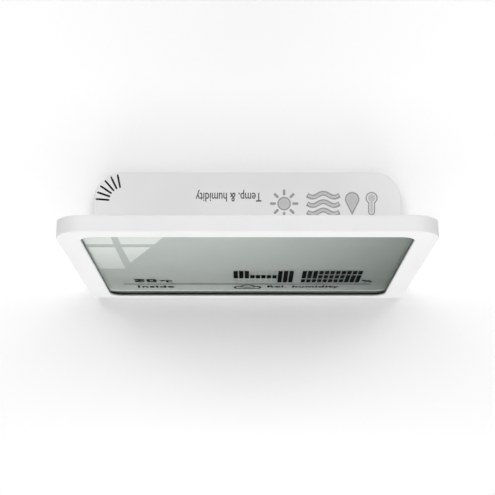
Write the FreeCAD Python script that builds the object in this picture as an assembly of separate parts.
"""Desk-top indoor climate monitor (temperature and relative humidity), FreeCAD, millimetres.

One folded, L-shaped housing: a display panel that leans back over a flat base plate.
Row frame: +X to the right seen from the front, +Y to the rear, +Z up.
The origin is on the table, below the centre of the footprint.

The housing is two shells. outer_shell is the bezel, the bend and the underside. inner_shell is the
back of the display panel and the top of the base. The reflective LCD is bonded behind the bezel, and a
flat flex takes its tracks round the bend to the board in the base. The base also holds the coin cell,
the humidity sensor below the corner vents, the unit switch and a bayonet battery door.
"""

import FreeCAD, Part
import math
import os

V = FreeCAD.Vector
X_AXIS, Z_AXIS = V(1, 0, 0), V(0, 0, 1)

# ---------------------------------------------------------------- housing, driving dimensions
WIDTH = 95.0                # across X
DEPTH = 38.8                # bend to rear edge of the base
THICK = 4.4                 # display panel and base plate alike
LEAN_DEG = 15.0             # how far the display panel leans back from upright
PANEL_LENGTH = 73.6         # from the end of the bend to the top edge of the panel
PANEL_R = 6.6               # top corners of the panel
BASE_R = 9.0                # rear corners of the base
SKIN = 1.0                  # skins of both shells
WALL = 1.2                  # side walls
SEAM = 0.06                 # visible gap between the two shells
EDGE_R = 0.35               # softened outer edges

# ---------------------------------------------------------------- feet and resting height
FOOT_PROUD = 0.6            # the feet hold the housing this far off the table
FOOT_R = 4.0
FOOT_POCKET = 0.3
FOOT_X, FOOT_REAR_Y, FOOT_FRONT_Y = 39.5, 11.0, -9.8

# ---------------------------------------------------------------- display window and its layers
WINDOW_HALF = 41.7
WINDOW_LOW, WINDOW_HIGH = 1.5, 68.75
WINDOW_R = 3.7
FLARE = 0.18                # softening of the window's edge
LIP = 0.55                  # bezel thickness left round the window
MASK_OVERLAP = 1.9
MASK_R = 1.0                # outer corners of the mask, the tape and the rebate that holds them
MASK_BACK = 0.90            # depth of the mask's rear face behind the bezel face
TAPE_BACK = 0.95
POLARISER_BACK = 1.07
FRONT_GLASS_BACK = 1.52
CELL_BACK = 1.57            # liquid crystal layer, drawn thicker than life
GLUE = 0.01                 # each layer of the LCD ends this much before the next one starts
REAR_GLASS_BACK = 1.97
REFLECTOR_BACK = 2.09
FOAM_BACK = 3.34
GLASS_HALF = 43.3
GLASS_HIGH = 70.3
LEDGE_LOW, REAR_GLASS_LOW = -0.2, 1.2
SEAL_SIDE, SEAL_LOW = 0.9, 2.2      # widths of the seal; wider beside the contact ledge

# ---------------------------------------------------------------- derived housing places
BOTTOM = FOOT_PROUD
TOP = BOTTOM + THICK
FRONT, REAR = -DEPTH / 2, DEPTH / 2
LEAN = math.radians(LEAN_DEG)
BEND_Y, BEND_Z = FRONT + THICK, BOTTOM + THICK      # axis of the bend, and the inner corner line
HALF = WIDTH / 2
INNER_HALF = HALF - WALL
INNER_BACK = THICK - SKIN                           # depth where inner_shell's display back starts
BASE_FLOOR, BASE_CEILING = BOTTOM + SKIN, TOP - SKIN
FACE_ANGLE = 180.0 - LEAN_DEG                       # direction of the panel's face normal, from +Y
VENT_X, VENT_Y = -HALF + BASE_R, REAR - BASE_R  # the vents fan round this corner's centre

# ---------------------------------------------------------------- vents
VENT_COUNT = 6
VENT_FIRST_DEG, VENT_STEP_DEG = 101.2, 14.9
VENT_R0, VENT_R1, VENT_WIDTH = 4.1, 8.4, 0.58

# ---------------------------------------------------------------- battery, door and contacts
CELL_X, CELL_Y = 17.0, 1.5
CELL_R, CELL_CAP_R = 10.0, 8.4
CELL_Z0, CELL_CAN_TOP, CELL_TOP = 1.66, 3.96, 4.14
DOOR_R, DOOR_GAP = 12.5, 0.08
TAB_R, TAB_Z0, TAB_Z1 = 13.9, 1.66, 2.16
TAB_ARC_DEG, NOTCH_ARC_DEG, DOOR_TURN_DEG = 18.0, 24.0, 40.0
TAB_START_DEG = 20.0
POCKET_R, POCKET_WALL, POCKET_Z0 = 10.35, 1.0, 2.35
POCKET_CEILING = 4.32
CONTACT_T = 0.15

# ---------------------------------------------------------------- circuit board and parts on it
BOARD_Z0, BOARD_Z1 = 2.6, 3.2
BOARD_X0, BOARD_X1, BOARD_Y0, BOARD_Y1 = -35.0, 1.0, -9.0, 16.2
TAB_X0, SENSOR_TAB_Y0, SENSOR_TAB_Y1 = -43.4, 10.6, 15.6
SENSOR_X, SENSOR_Y = -41.4, 13.2
CONNECTOR_X0, CONNECTOR_X1, CONNECTOR_Y0, CONNECTOR_Y1 = -30.0, -4.0, -8.6, -5.2
FLEX_X0, FLEX_X1, FLEX_T = -29.0, -5.0, 0.1
FLEX_DROP = 0.10            # straight run of the flex below the end of the bend
SWITCH_X, SWITCH_Y = -18.0, 3.4
SWITCH_TRAVEL = 2.0
SWITCH_HALF_X, SWITCH_HALF_Y, SWITCH_Z0 = 3.35, 1.4, 1.3
KNOB_HALF_X, KNOB_HALF_Y, KNOB_Z0, KNOB_Z1 = 0.7, 0.57, 0.5, 2.2
KNOB_GAP, SWITCH_GAP = 0.16, 0.15

# ---------------------------------------------------------------- fasteners
CASE_SCREWS = ((-42.0, 1.0), (42.0, 1.0), (3.6, 15.2), (3.6, -11.8))
BOARD_SCREWS = ((-32.2, 3.0), (-4.0, 8.6))
BOSS_R = 2.0
SCREW_R, SCREW_HOLE_R = 0.85, 0.90
HEAD_R, HEAD_DEPTH = 1.55, 0.70


# ================================================================ building blocks
def box(x0, x1, y0, y1, z0, z1):
    return Part.makeBox(x1 - x0, y1 - y0, z1 - z0, V(x0, y0, z0))


def centred_box(x, y, half_x, half_y, z0, z1):
    return box(x - half_x, x + half_x, y - half_y, y + half_y, z0, z1)


def disc(x, y, radius, z0, z1):
    return Part.makeCylinder(radius, z1 - z0, V(x, y, z0))


def rims_at(shape, z):
    """The circular edges of a shape that lie at height z."""
    return [e for e in shape.Edges if isinstance(e.Curve, Part.Circle) and abs(e.Curve.Center.z - z) < 1e-3]


def fuse(shapes):
    first, rest = shapes[0], list(shapes[1:])
    return first.fuse(rest).removeSplitter() if rest else first


def cut(shape, tools):
    return shape.cut(tools).removeSplitter()


def outline(half, y0, y1, z, low_r=0.0, high_r=0.0):
    """A closed rectangle centred on x = 0, its corners rounded by low_r at y0 and by high_r at y1."""
    edges, start, previous = [], None, None
    corners = ((1, y0, 1, low_r), (1, y1, -1, high_r), (-1, y1, -1, high_r), (-1, y0, 1, low_r))
    for number, (side, y, inward, radius) in enumerate(corners):
        bulge = radius * (1 - math.sqrt(0.5))
        along_x, along_y = V(side * (half - radius), y, z), V(side * half, y + inward * radius, z)
        middle = V(side * (half - bulge), y + inward * bulge, z)
        enter, leave = (along_x, along_y) if number % 2 == 0 else (along_y, along_x)
        if previous is not None:
            edges.append(Part.makeLine(previous, enter))
        if radius > 0:
            edges.append(Part.Arc(enter, middle, leave).toShape())
        start, previous = start or enter, leave
    edges.append(Part.makeLine(previous, start))
    return Part.Wire(edges)


def plate(half, y0, y1, z0, z1, low_r=0.0, high_r=0.0):
    """A flat plate with that outline."""
    return Part.Face(outline(half, y0, y1, z0, low_r, high_r)).extrude(V(0, 0, z1 - z0))


def on_panel(shape):
    """Places a shape drawn flat into the display panel.

    Drawn flat, y runs up the panel from the end of the bend, and z = 0 is the bezel's face with
    -z going into the panel.
    """
    placed = shape.copy()
    placed.rotate(V(0, 0, 0), X_AXIS, 90.0 - LEAN_DEG)
    placed.translate(V(0, BEND_Y - THICK * math.cos(LEAN), BEND_Z + THICK * math.sin(LEAN)))
    return placed


def layer(half, y0, y1, depth0, depth1, low_r=0.0, high_r=0.0):
    """A flat layer between two depths behind the bezel's face."""
    return on_panel(plate(half, y0, y1, -depth1, -depth0, low_r, high_r))


def side_point(radius, angle_deg):
    """A point in the YZ plane at a radius and an angle (from +Y towards +Z) round the bend axis."""
    a = math.radians(angle_deg)
    return V(0, BEND_Y + radius * math.cos(a), BEND_Z + radius * math.sin(a))


def panel_point(depth, up):
    """The point of the YZ plane at a depth behind the bezel's face and a height up the panel."""
    reach = THICK - depth
    return V(0, BEND_Y - reach * math.cos(LEAN) + up * math.sin(LEAN),
             BEND_Z + reach * math.sin(LEAN) + up * math.cos(LEAN))


def extrude_x(edges, x0, x1):
    """A closed loop of edges in the YZ plane, extruded from x0 to x1."""
    solid = Part.Face(Part.Wire(edges)).extrude(V(x1 - x0, 0, 0))
    solid.translate(V(x0, 0, 0))
    return solid


def bend_sector(radius, half):
    """The part of a cylinder round the bend axis between the base and the display panel."""
    start, end = side_point(radius, 270.0), side_point(radius, FACE_ANGLE)
    middle = side_point(radius, (270.0 + FACE_ANGLE) / 2)
    centre = side_point(0, 0)
    return extrude_x([Part.makeLine(centre, start), Part.Arc(start, middle, end).toShape(),
                      Part.makeLine(end, centre)], -half, half)


def wedge(x, y, radius, start_deg, arc_deg, z0, z1, inner=0.0):
    """An annular sector standing on the XY plane."""
    def at(r, deg):
        a = math.radians(deg)
        return V(x + r * math.cos(a), y + r * math.sin(a), z0)
    end, middle = start_deg + arc_deg, start_deg + arc_deg / 2
    edges = [Part.Arc(at(radius, start_deg), at(radius, middle), at(radius, end)).toShape()]
    if inner > 0:
        edges.append(Part.makeLine(at(radius, end), at(inner, end)))
        edges.append(Part.Arc(at(inner, end), at(inner, middle), at(inner, start_deg)).toShape())
        edges.append(Part.makeLine(at(inner, start_deg), at(radius, start_deg)))
    else:
        edges.append(Part.makeLine(at(radius, end), V(x, y, z0)))
        edges.append(Part.makeLine(V(x, y, z0), at(radius, start_deg)))
    return Part.Face(Part.Wire(edges)).extrude(V(0, 0, z1 - z0))


# ================================================================ housing
def envelope():
    """The whole outside of the housing as one solid, outer edges softened."""
    panel = layer(HALF, 0, PANEL_LENGTH, 0, THICK, high_r=PANEL_R)
    base = plate(HALF, BEND_Y, REAR, BOTTOM, TOP, high_r=BASE_R)
    solid = fuse([panel, bend_sector(THICK, HALF), base])
    rim = []
    for edge in solid.Edges:
        points = [edge.valueAt(edge.FirstParameter + t * (edge.LastParameter - edge.FirstParameter))
                  for t in (0.0, 0.25, 0.5, 0.75, 1.0)]
        # Rim edges lie on the housing's skins; the short ones across its thickness stay as they are.
        if all(on_skin(p, THICK) for p in points) or all(on_skin(p, 0.0) for p in points):
            if not is_bend_line(points):
                rim.append(edge)
    return solid.makeFillet(EDGE_R, rim)


def on_skin(point, offset):
    """True if a point lies on the outer skin (offset THICK) or on the inner skin (offset 0)."""
    dy, dz = point.y - BEND_Y, point.z - BEND_Z
    across = -dy * math.cos(LEAN) + dz * math.sin(LEAN)
    along = dy * math.sin(LEAN) + dz * math.cos(LEAN)
    near = 1e-3
    on_panel_skin = abs(across - offset) < near and along > -near
    on_base_skin = abs(-dz - offset) < near and dy > -near
    on_bend_skin = offset > 0 and abs(math.hypot(dy, dz) - offset) < near
    return on_panel_skin or on_base_skin or on_bend_skin


def is_bend_line(points):
    """True for edges that run straight across X at either end of the bend, or along its inner corner."""
    flat = all(abs(p.y - points[0].y) < 1e-3 and abs(p.z - points[0].z) < 1e-3 for p in points)
    at_top_or_rear = points[0].z > TOP + 20 or points[0].y > REAR - 1e-3
    return flat and not at_top_or_rear


def inner_corner_block(half, skin):
    """The inner shell's material where its two skins meet below the inner corner line."""
    miter = -skin * (1 + math.sin(LEAN)) / math.cos(LEAN)
    points = [side_point(0, 0), panel_point(THICK - skin, 0.0), panel_point(THICK - skin, miter),
              V(0, BEND_Y, BEND_Z - skin), side_point(0, 0)]
    return extrude_x(Part.makePolygon(points).Edges, -half, half)


def hollow():
    """The space inside both shells."""
    panel = layer(INNER_HALF, 0, PANEL_LENGTH - WALL, SKIN, INNER_BACK, high_r=PANEL_R - WALL)
    base = plate(INNER_HALF, BEND_Y, REAR - WALL, BASE_FLOOR, BASE_CEILING, high_r=BASE_R - WALL)
    bend = bend_sector(THICK - SKIN, INNER_HALF).cut(inner_corner_block(INNER_HALF + 1, SKIN))
    return fuse([panel, bend, base])


def inner_shell_zone(gap):
    """The part of the envelope that belongs to inner_shell, drawn back from the other shell by gap."""
    back = layer(INNER_HALF - gap, 0, PANEL_LENGTH - WALL - gap, INNER_BACK, THICK + 1,
                 high_r=PANEL_R - WALL)
    base = plate(HALF + 1, BEND_Y + gap, REAR + 1, BASE_FLOOR + gap, TOP)
    strip = plate(INNER_HALF - gap, BEND_Y - 0.01, BEND_Y + 1, BASE_CEILING, TOP)
    return fuse([back, inner_corner_block(INNER_HALF - gap, SKIN), base, strip])


def vent_slots(z0, z1):
    """The fan of vent slots round the rear corner on the sensor's side."""
    slots = []
    for i in range(VENT_COUNT):
        r = VENT_WIDTH / 2
        slot = fuse([box(VENT_R0 + r, VENT_R1 - r, -r, r, z0, z1), disc(VENT_R0 + r, 0, r, z0, z1),
                     disc(VENT_R1 - r, 0, r, z0, z1)])
        slot.rotate(V(0, 0, 0), Z_AXIS, VENT_FIRST_DEG + i * VENT_STEP_DEG)
        slot.translate(V(VENT_X, VENT_Y, 0))
        slots.append(slot)
    return slots


def snap_tabs(grow):
    """Three tabs on the top edge of the inner shell that catch in the outer shell's top wall."""
    tab_half, tab_reach, tab_depth = 3.0, 0.6, 0.5
    tabs = []
    for x in (-28.0, 0.0, 28.0):
        y0 = PANEL_LENGTH - WALL - SEAM
        tabs.append(on_panel(box(x - tab_half - grow, x + tab_half + grow, y0 - 0.5, y0 + tab_reach + grow,
                                 -INNER_BACK - tab_depth - grow, -INNER_BACK + grow)))
    return tabs


def battery_hole():
    """The door's hole in the underside, with a notch for each bayonet tab."""
    shapes = [disc(CELL_X, CELL_Y, DOOR_R + DOOR_GAP, BOTTOM - 1, BASE_FLOOR + 0.5)]
    spare = (NOTCH_ARC_DEG - TAB_ARC_DEG) / 2
    for i in range(3):
        start = TAB_START_DEG + 120 * i - DOOR_TURN_DEG - spare
        shapes.append(wedge(CELL_X, CELL_Y, TAB_R + 0.25, start, NOTCH_ARC_DEG,
                            BOTTOM - 1, BASE_FLOOR + 0.5, inner=DOOR_R - 1))
    return fuse(shapes)


def countersink(x, y):
    """A countersunk clearance hole through the underside for a case screw."""
    clearance = 0.1
    cone = Part.makeCone(HEAD_R + clearance, SCREW_R + clearance, HEAD_DEPTH, V(x, y, BOTTOM))
    return fuse([cone, disc(x, y, SCREW_R + clearance, BOTTOM + 0.3, BASE_FLOOR + 0.5),
                 disc(x, y, HEAD_R + clearance, BOTTOM - 1, BOTTOM + 0.001)])


def feet_places():
    return [(sx * FOOT_X, y) for sx in (-1, 1) for y in (FOOT_REAR_Y, FOOT_FRONT_Y)]


def make_outer_shell(whole, inside):
    rebate_half = WINDOW_HALF + MASK_OVERLAP + 0.1
    rebate = plate(rebate_half, WINDOW_LOW - MASK_OVERLAP - 0.1, WINDOW_HIGH + MASK_OVERLAP + 0.1,
                   -SKIN - 0.5, -LIP, MASK_R, MASK_R)
    shell = whole.cut([inner_shell_zone(0.0), inside])
    shell = shell.cut([window_cutter(), on_panel(rebate)] + snap_tabs(0.08))
    shell = shell.cut([battery_hole()] + [countersink(x, y) for x, y in CASE_SCREWS])
    shell = shell.cut([disc(x, y, FOOT_R + 0.1, BOTTOM - 1, BOTTOM + FOOT_POCKET) for x, y in feet_places()])
    knob_slot = centred_box(SWITCH_X, SWITCH_Y, SWITCH_TRAVEL / 2 + KNOB_HALF_X + KNOB_GAP,
                            KNOB_HALF_Y + KNOB_GAP, BOTTOM - 1, BASE_FLOOR + 1)
    body_pocket = centred_box(SWITCH_X, SWITCH_Y, SWITCH_HALF_X + SWITCH_GAP, SWITCH_HALF_Y + SWITCH_GAP,
                              SWITCH_Z0 - 0.05, BASE_FLOOR + 1)
    shell = cut(shell, [knob_slot, body_pocket])
    return largest(shell)


def window_cutter():
    """The window's prism, flared a little at the bezel's face to soften the opening's edge."""
    prism = plate(WINDOW_HALF, WINDOW_LOW, WINDOW_HIGH, -SKIN - 1, 1, WINDOW_R, WINDOW_R)
    narrow = outline(WINDOW_HALF, WINDOW_LOW, WINDOW_HIGH, -FLARE, WINDOW_R, WINDOW_R)
    wide = outline(WINDOW_HALF + 2 * FLARE, WINDOW_LOW - 2 * FLARE, WINDOW_HIGH + 2 * FLARE, FLARE,
                   WINDOW_R + 2 * FLARE, WINDOW_R + 2 * FLARE)
    return on_panel(fuse([prism, Part.makeLoft([narrow, wide], True, True)]))


def make_inner_shell(whole, inside):
    shell = whole.common(inner_shell_zone(SEAM)).cut(inside)
    bosses = [disc(x, y, BOSS_R, BASE_FLOOR + SEAM, BASE_CEILING + 0.2) for x, y in CASE_SCREWS]
    bosses += [disc(x, y, BOSS_R - 0.3, BOARD_Z1, BASE_CEILING + 0.2) for x, y in BOARD_SCREWS]
    ring = disc(CELL_X, CELL_Y, POCKET_R + POCKET_WALL, POCKET_Z0, BASE_CEILING + 0.1)
    shell = fuse([shell, ring] + bosses + snap_tabs(0.0))
    tools = [disc(CELL_X, CELL_Y, POCKET_R, POCKET_Z0 - 1, POCKET_CEILING)]
    tools.append(box(CELL_X - 15.5, CELL_X - 5.0, CELL_Y - 3.5, CELL_Y + 9.5, POCKET_Z0 - 1, POCKET_CEILING))
    tools += [disc(x, y, SCREW_HOLE_R, BASE_FLOOR - 1, 4.4) for x, y in CASE_SCREWS]
    tools += [disc(x, y, 0.75, BOARD_Z1 - 1, 4.5) for x, y in BOARD_SCREWS]
    tools += vent_slots(BASE_CEILING - 1, TOP + 1)
    return largest(cut(shell, tools))


def largest(shape):
    """The biggest solid of a cut result, which drops any sliver left at a seam."""
    return max(shape.Solids, key=lambda s: s.Volume)


# ================================================================ display
def window_ring(inset, overlap, depth0, depth1):
    """A frame round the window, from inset outside its edge to overlap outside it."""
    outer = plate(WINDOW_HALF + overlap, WINDOW_LOW - overlap, WINDOW_HIGH + overlap, -depth1, -depth0,
                  MASK_R, MASK_R)
    hole = plate(WINDOW_HALF + inset, WINDOW_LOW - inset, WINDOW_HIGH + inset, -depth1 - 1, -depth0 + 1,
                 WINDOW_R + inset, WINDOW_R + inset)
    return on_panel(outer.cut(hole))


def make_display_mask():
    return window_ring(0.0, MASK_OVERLAP, LIP, MASK_BACK)


def make_display_tape():
    return window_ring(0.3, 1.2, MASK_BACK, TAPE_BACK)


def lcd_layer(inset, low, start, next_start):
    """A rectangular layer of the LCD, inset from the glass's edges, between two depths."""
    return layer(GLASS_HALF - inset, low, GLASS_HIGH - inset, start, next_start - GLUE)


def make_front_polariser():
    return lcd_layer(0.6, 0.3, TAPE_BACK, POLARISER_BACK)


def make_front_glass():
    return lcd_layer(0.0, LEDGE_LOW, POLARISER_BACK, FRONT_GLASS_BACK)


def make_cell_seal():
    """The epoxy ring that holds the two glasses apart."""
    outer = plate(GLASS_HALF, REAR_GLASS_LOW, GLASS_HIGH, GLUE - CELL_BACK, -FRONT_GLASS_BACK)
    hole_half, hole_high = GLASS_HALF - SEAL_SIDE, GLASS_HIGH - SEAL_SIDE
    hole = plate(hole_half, REAR_GLASS_LOW + SEAL_LOW, hole_high, -CELL_BACK - 1, 0)
    return on_panel(outer.cut(hole))


def make_rear_glass():
    return lcd_layer(0.0, REAR_GLASS_LOW, CELL_BACK, REAR_GLASS_BACK)


def make_rear_reflector():
    return lcd_layer(0.6, REAR_GLASS_LOW + 0.3, REAR_GLASS_BACK, REFLECTOR_BACK)


def make_backing_foam():
    return lcd_layer(1.5, 1.6, REFLECTOR_BACK, FOAM_BACK)


# Lit segments, drawn flat on the panel: two bar numerals, two small numerals, a rule and a percent sign.
BAR_W, BAR_H = 1.21, 3.92
BAR_PITCH, ROW_PITCH = 1.588, 5.01
BAR_ROWS_LOW = 15.5                        # bottom of the lowest row
NUMERAL_X = (-3.96, 15.61)                   # left edge of each large numeral
SMALL_X = (-33.03, -29.51)
SMALL_W, SMALL_H, SMALL_LOW, STROKE = 2.93, 3.5, 15.95, 0.96
RULE_LOW, RULE_H, RULE_X0, RULE_X1 = 13.0, 0.5, -36.7, 36.5

# Which rows (0 lowest) each column of a large numeral fills; a pair in brackets is one joined bar.
LEFT_COLUMNS, MIDDLE_COLUMNS, RIGHT_COLUMNS = 3, 5, 3
NUMERALS = {
    "4": (((1, 2),), ((1, 1),), ((0, 2),)),
    "5": (((1, 2), (0, 0)), ((0, 0), (1, 1), (2, 2)), ((0, 1), (2, 2))),
}
SEVEN_SEGMENTS = {"2": "abged", "0": "abcdef"}


def large_numeral(digit, x0):
    """A wide numeral made of upright bars in eleven columns and three rows."""
    blocks = []
    groups = zip(NUMERALS[digit], (LEFT_COLUMNS, MIDDLE_COLUMNS, RIGHT_COLUMNS))
    column = 0
    for bars, count in groups:
        for _ in range(count):
            x = x0 + column * BAR_PITCH
            for low, high in bars:
                y0 = BAR_ROWS_LOW + low * ROW_PITCH
                y1 = BAR_ROWS_LOW + high * ROW_PITCH + BAR_H
                blocks.append((x, x + BAR_W, y0, y1))
            column += 1
    return blocks


def small_numeral(digit, x0):
    """A seven-segment numeral."""
    x1, y0, y1 = x0 + SMALL_W, SMALL_LOW, SMALL_LOW + SMALL_H
    mid, s, gap = (y0 + y1) / 2, STROKE, 0.08
    segments = {
        "a": (x0 + gap, x1 - gap, y1 - s, y1), "d": (x0 + gap, x1 - gap, y0, y0 + s),
        "g": (x0 + s + gap, x1 - s - gap, mid - s / 2, mid + s / 2),
        "f": (x0, x0 + s, mid + gap, y1 - s - gap), "e": (x0, x0 + s, y0 + s + gap, mid - gap),
        "b": (x1 - s, x1, mid + gap, y1 - s - gap), "c": (x1 - s, x1, y0 + s + gap, mid - gap),
    }
    return [segments[name] for name in SEVEN_SEGMENTS[digit]]


def make_lcd_segments():
    blocks = large_numeral("4", NUMERAL_X[0]) + large_numeral("5", NUMERAL_X[1])
    blocks += small_numeral("2", SMALL_X[0]) + small_numeral("0", SMALL_X[1])
    blocks.append((RULE_X0, RULE_X1, RULE_LOW, RULE_LOW + RULE_H))
    solids = [box(*block, GLUE - CELL_BACK, -FRONT_GLASS_BACK) for block in blocks]
    return Part.makeCompound([on_panel(solid) for solid in solids])


def make_display_flex():
    """A flex bonded behind the glass ledge, turning the bend and lying flat under the board."""
    half_turn = math.radians((270.0 + FACE_ANGLE) / 2)
    centre = panel_point(THICK, -FLEX_DROP)

    def side(depth):
        """The start, the bend's three points and the end of one side of the flex."""
        curl = THICK - depth
        middle = centre + V(0, curl * math.cos(half_turn), curl * math.sin(half_turn))
        end = centre + V(0, 0, -curl)
        tail = V(0, CONNECTOR_Y0 + 1.2, end.z)
        return panel_point(depth, REAR_GLASS_LOW - 0.1), panel_point(depth, -FLEX_DROP), middle, end, tail

    a, b = side(FRONT_GLASS_BACK), side(FRONT_GLASS_BACK + FLEX_T)
    edges = [Part.makeLine(a[0], a[1]), Part.Arc(a[1], a[2], a[3]).toShape(), Part.makeLine(a[3], a[4]),
             Part.makeLine(a[4], b[4]), Part.makeLine(b[4], b[3]), Part.Arc(b[3], b[2], b[1]).toShape(),
             Part.makeLine(b[1], b[0]), Part.makeLine(b[0], a[0])]
    return extrude_x(edges, FLEX_X0, FLEX_X1)


# ================================================================ board and electronics
def make_main_board():
    board = fuse([box(BOARD_X0, BOARD_X1, BOARD_Y0, BOARD_Y1, BOARD_Z0, BOARD_Z1),
                  box(TAB_X0, BOARD_X0 + 1, SENSOR_TAB_Y0, SENSOR_TAB_Y1, BOARD_Z0, BOARD_Z1)])
    tools = [disc(x, y, SCREW_HOLE_R, BOARD_Z0 - 1, BOARD_Z1 + 1) for x, y in BOARD_SCREWS]
    # A slot beside the sensor keeps the board's warmth away from it.
    tools.append(box(BOARD_X0 - 2.2, BOARD_X0 - 1.2, SENSOR_TAB_Y0 - 1, SENSOR_TAB_Y1 - 1.4,
                     BOARD_Z0 - 1, BOARD_Z1 + 1))
    return cut(board, tools)


def make_flex_connector():
    body = box(CONNECTOR_X0, CONNECTOR_X1, CONNECTOR_Y0, CONNECTOR_Y1, 1.72, BOARD_Z0)
    flex_z = panel_point(THICK, -FLEX_DROP).z - (THICK - FRONT_GLASS_BACK)
    mouth = box(FLEX_X0 - 0.1, FLEX_X1 + 0.1, CONNECTOR_Y0 - 1, CONNECTOR_Y0 + 1.4, flex_z - 0.05,
                flex_z + FLEX_T + 0.05)
    return cut(body, [mouth])


def make_controller_chip():
    body = box(-22.5, -17.5, -3.5, 1.5, BOARD_Z1, BOARD_Z1 + 0.75)
    mark = disc(-21.6, 0.6, 0.35, BOARD_Z1 + 0.65, BOARD_Z1 + 1)
    return cut(body, [mark])


def make_timing_crystal():
    return box(-27.6, -24.4, -2.2, -0.7, BOARD_Z1, BOARD_Z1 + 0.7)


def make_board_capacitors():
    places = [(-15.5, -2.6), (-15.5, -0.6), (-24.0, 3.6), (-12.0, -2.6), (-12.0, -0.6), (-28.0, 8.0),
              (-25.6, 8.0), (-33.2, 12.6)]
    length, width, height = 1.0, 0.5, 0.5
    return Part.makeCompound([centred_box(x, y, length / 2, width / 2, BOARD_Z1, BOARD_Z1 + height)
                              for x, y in places])


def make_humidity_sensor():
    side, height = 2.0, 0.6
    body = centred_box(SENSOR_X, SENSOR_Y, side / 2, side / 2, BOARD_Z1, BOARD_Z1 + height)
    return cut(body, [disc(SENSOR_X, SENSOR_Y, 0.55, BOARD_Z1 + 0.4, BOARD_Z1 + 1)])


def make_vent_membrane():
    """A breathable dust filter bonded under the vents."""
    return wedge(VENT_X, VENT_Y, BASE_R - WALL - 0.15, VENT_FIRST_DEG - 9, 93.0,
                 BASE_CEILING - 0.12, BASE_CEILING, inner=3.3)


def make_sensor_baffle():
    """A foam wall that keeps the sensor's corner apart from the warm electronics."""
    z0, z1 = BASE_FLOOR + 0.05, BASE_CEILING - 0.15
    inner_y, inner_x = 8.4, -36.6
    wall = fuse([box(inner_x, inner_x + 1.2, inner_y, REAR - WALL - 0.1, z0, z1),
                 box(-INNER_HALF + 0.1, inner_x + 1.2, inner_y, inner_y + 1.2, z0, z1)])
    return cut(wall, [box(TAB_X0 - 0.05, BOARD_X0 + 1, SENSOR_TAB_Y0 - 0.05, SENSOR_TAB_Y1 + 0.05,
                          BOARD_Z0 - 0.02, BOARD_Z1 + 0.02)])


# ================================================================ battery and contacts
def make_coin_cell():
    can = disc(CELL_X, CELL_Y, CELL_R, CELL_Z0, CELL_CAN_TOP)
    can = can.makeFillet(0.25, rims_at(can, CELL_Z0) + rims_at(can, CELL_CAN_TOP))
    cap = disc(CELL_X, CELL_Y, CELL_CAP_R, CELL_CAN_TOP - 0.1, CELL_TOP)
    return fuse([can, cap.makeFillet(0.1, rims_at(cap, CELL_TOP))])


def make_negative_contact():
    """A strip from the board, over the can's edge to the cell's cap."""
    y0, y1 = CELL_Y + 4.2, CELL_Y + 7.4
    riser_x = BOARD_X1 + 0.6
    z_over = POCKET_CEILING - CONTACT_T - 0.01
    foot = box(BOARD_X1 - 3.0, riser_x + CONTACT_T, y0, y1, BOARD_Z1, BOARD_Z1 + CONTACT_T)
    riser = box(riser_x, riser_x + CONTACT_T, y0, y1, BOARD_Z1, z_over + CONTACT_T)
    arm = box(riser_x, CELL_X + 2.0, y0, y1, z_over, z_over + CONTACT_T)
    return fuse([foot, riser, arm])


def make_positive_contact():
    """A leaf that presses on the side of the can."""
    y0, y1 = CELL_Y - 2.5, CELL_Y + 2.5
    leaf_x = CELL_X - CELL_R - CONTACT_T - 0.02
    foot = box(BOARD_X1 - 3.0, leaf_x + CONTACT_T, y0, y1, BOARD_Z1, BOARD_Z1 + CONTACT_T)
    leaf = box(leaf_x, leaf_x + CONTACT_T, y0, y1, 2.45, BOARD_Z1 + CONTACT_T)
    return fuse([foot, leaf])


def make_battery_door():
    """A round door with three bayonet tabs above the underside's skin and a coin slot below."""
    body = disc(CELL_X, CELL_Y, DOOR_R, BOTTOM, BASE_FLOOR)
    body = body.makeFillet(0.2, rims_at(body, BOTTOM))
    hub_r = CELL_R + 0.6
    collar = disc(CELL_X, CELL_Y, DOOR_R - 0.1, BASE_FLOOR - 0.2, TAB_Z1).cut(
        disc(CELL_X, CELL_Y, hub_r, BASE_FLOOR - 1, TAB_Z1 + 1))
    tabs = [wedge(CELL_X, CELL_Y, TAB_R, TAB_START_DEG + 120 * i, TAB_ARC_DEG, TAB_Z0, TAB_Z1,
                  inner=hub_r + 0.4) for i in range(3)]
    coin_slot = fuse([box(CELL_X - 5.4, CELL_X + 5.4, CELL_Y - 0.9, CELL_Y + 0.9, BOTTOM - 1, BOTTOM + 0.55),
                      disc(CELL_X - 5.4, CELL_Y, 0.9, BOTTOM - 1, BOTTOM + 0.55),
                      disc(CELL_X + 5.4, CELL_Y, 0.9, BOTTOM - 1, BOTTOM + 0.55)])
    return cut(fuse([body, collar] + tabs), [coin_slot])


# ================================================================ unit switch, screws, feet
def make_switch_housing():
    body = centred_box(SWITCH_X, SWITCH_Y, SWITCH_HALF_X, SWITCH_HALF_Y, SWITCH_Z0, BOARD_Z0)
    track = centred_box(SWITCH_X, SWITCH_Y, SWITCH_TRAVEL / 2 + KNOB_HALF_X + 0.1, KNOB_HALF_Y + 0.05,
                        SWITCH_Z0 - 1, KNOB_Z1 + 0.1)
    return cut(body, [track])


def make_switch_knob():
    """The slider, at rest at the left end of its travel."""
    x = SWITCH_X - SWITCH_TRAVEL / 2
    groove_half, groove_depth = 0.1, 0.12
    stem = centred_box(x, SWITCH_Y, KNOB_HALF_X, KNOB_HALF_Y, KNOB_Z0, KNOB_Z1)
    grooves = [centred_box(x + step, SWITCH_Y, groove_half, KNOB_HALF_Y + 1,
                           KNOB_Z0 - 1, KNOB_Z0 + groove_depth) for step in (-0.4, 0.0, 0.4)]
    return cut(stem, grooves)


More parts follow.
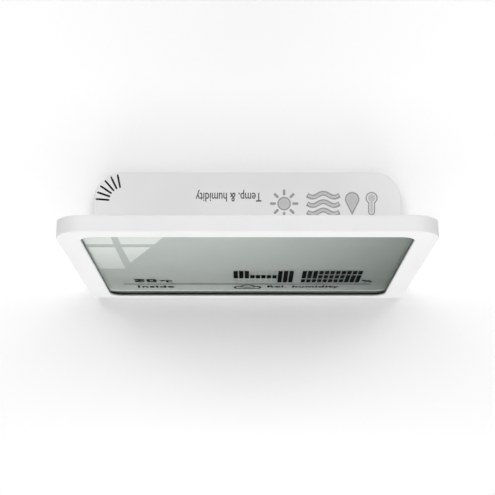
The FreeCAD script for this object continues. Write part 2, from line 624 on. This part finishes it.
def cross_recess(x, y, z, depth, span, upwards=True):
    z0, z1 = (z - 0.5, z + depth) if upwards else (z - depth, z + 0.5)
    blade = 0.34
    return fuse([box(x - span / 2, x + span / 2, y - blade / 2, y + blade / 2, z0, z1),
                 box(x - blade / 2, x + blade / 2, y - span / 2, y + span / 2, z0, z1)])


def make_case_screws():
    screws = []
    tip = 4.0
    for x, y in CASE_SCREWS:
        z0 = BOTTOM + 0.04
        head = Part.makeCone(HEAD_R, SCREW_R, HEAD_DEPTH, V(x, y, z0))
        screws.append(cut(fuse([head, disc(x, y, SCREW_R, z0 + 0.3, tip)]),
                          [cross_recess(x, y, z0, 0.45, 1.7)]))
    return Part.makeCompound(screws)


def make_board_screws():
    screws = []
    head_h, head_r, shank_r, tip = 0.6, 1.25, 0.7, 4.4
    for x, y in BOARD_SCREWS:
        head = disc(x, y, head_r, BOARD_Z0 - head_h, BOARD_Z0)
        screws.append(cut(fuse([head, disc(x, y, shank_r, BOARD_Z0 - 0.1, tip)]),
                          [cross_recess(x, y, BOARD_Z0 - head_h, 0.35, 1.5)]))
    return Part.makeCompound(screws)


def make_rubber_feet():
    feet = []
    for x, y in feet_places():
        pad = disc(x, y, FOOT_R, 0.0, BOTTOM + FOOT_POCKET)
        feet.append(pad.makeFillet(0.3, rims_at(pad, 0.0)))
    return Part.makeCompound(feet)


# ================================================================ export
def main():
    os.makedirs("parts", exist_ok=True)
    whole, inside = envelope(), hollow()
    nodes = {
        "outer_shell": make_outer_shell(whole, inside),
        "inner_shell": make_inner_shell(whole, inside),
        "display_mask": make_display_mask(),
        "display_tape": make_display_tape(),
        "front_polariser": make_front_polariser(),
        "front_glass": make_front_glass(),
        "lcd_segments": make_lcd_segments(),
        "cell_seal": make_cell_seal(),
        "rear_glass": make_rear_glass(),
        "rear_reflector": make_rear_reflector(),
        "backing_foam": make_backing_foam(),
        "display_flex": make_display_flex(),
        "main_board": make_main_board(),
        "flex_connector": make_flex_connector(),
        "controller_chip": make_controller_chip(),
        "timing_crystal": make_timing_crystal(),
        "board_capacitors": make_board_capacitors(),
        "humidity_sensor": make_humidity_sensor(),
        "vent_membrane": make_vent_membrane(),
        "sensor_baffle": make_sensor_baffle(),
        "coin_cell": make_coin_cell(),
        "negative_contact": make_negative_contact(),
        "positive_contact": make_positive_contact(),
        "battery_door": make_battery_door(),
        "switch_housing": make_switch_housing(),
        "switch_knob": make_switch_knob(),
        "case_screws": make_case_screws(),
        "board_screws": make_board_screws(),
        "rubber_feet": make_rubber_feet(),
    }
    for name, shape in nodes.items():
        assert shape.isValid() and all(s.Volume > 0 for s in shape.Solids), name
        shape.exportStep(os.path.join("parts", name + ".step"))


main()
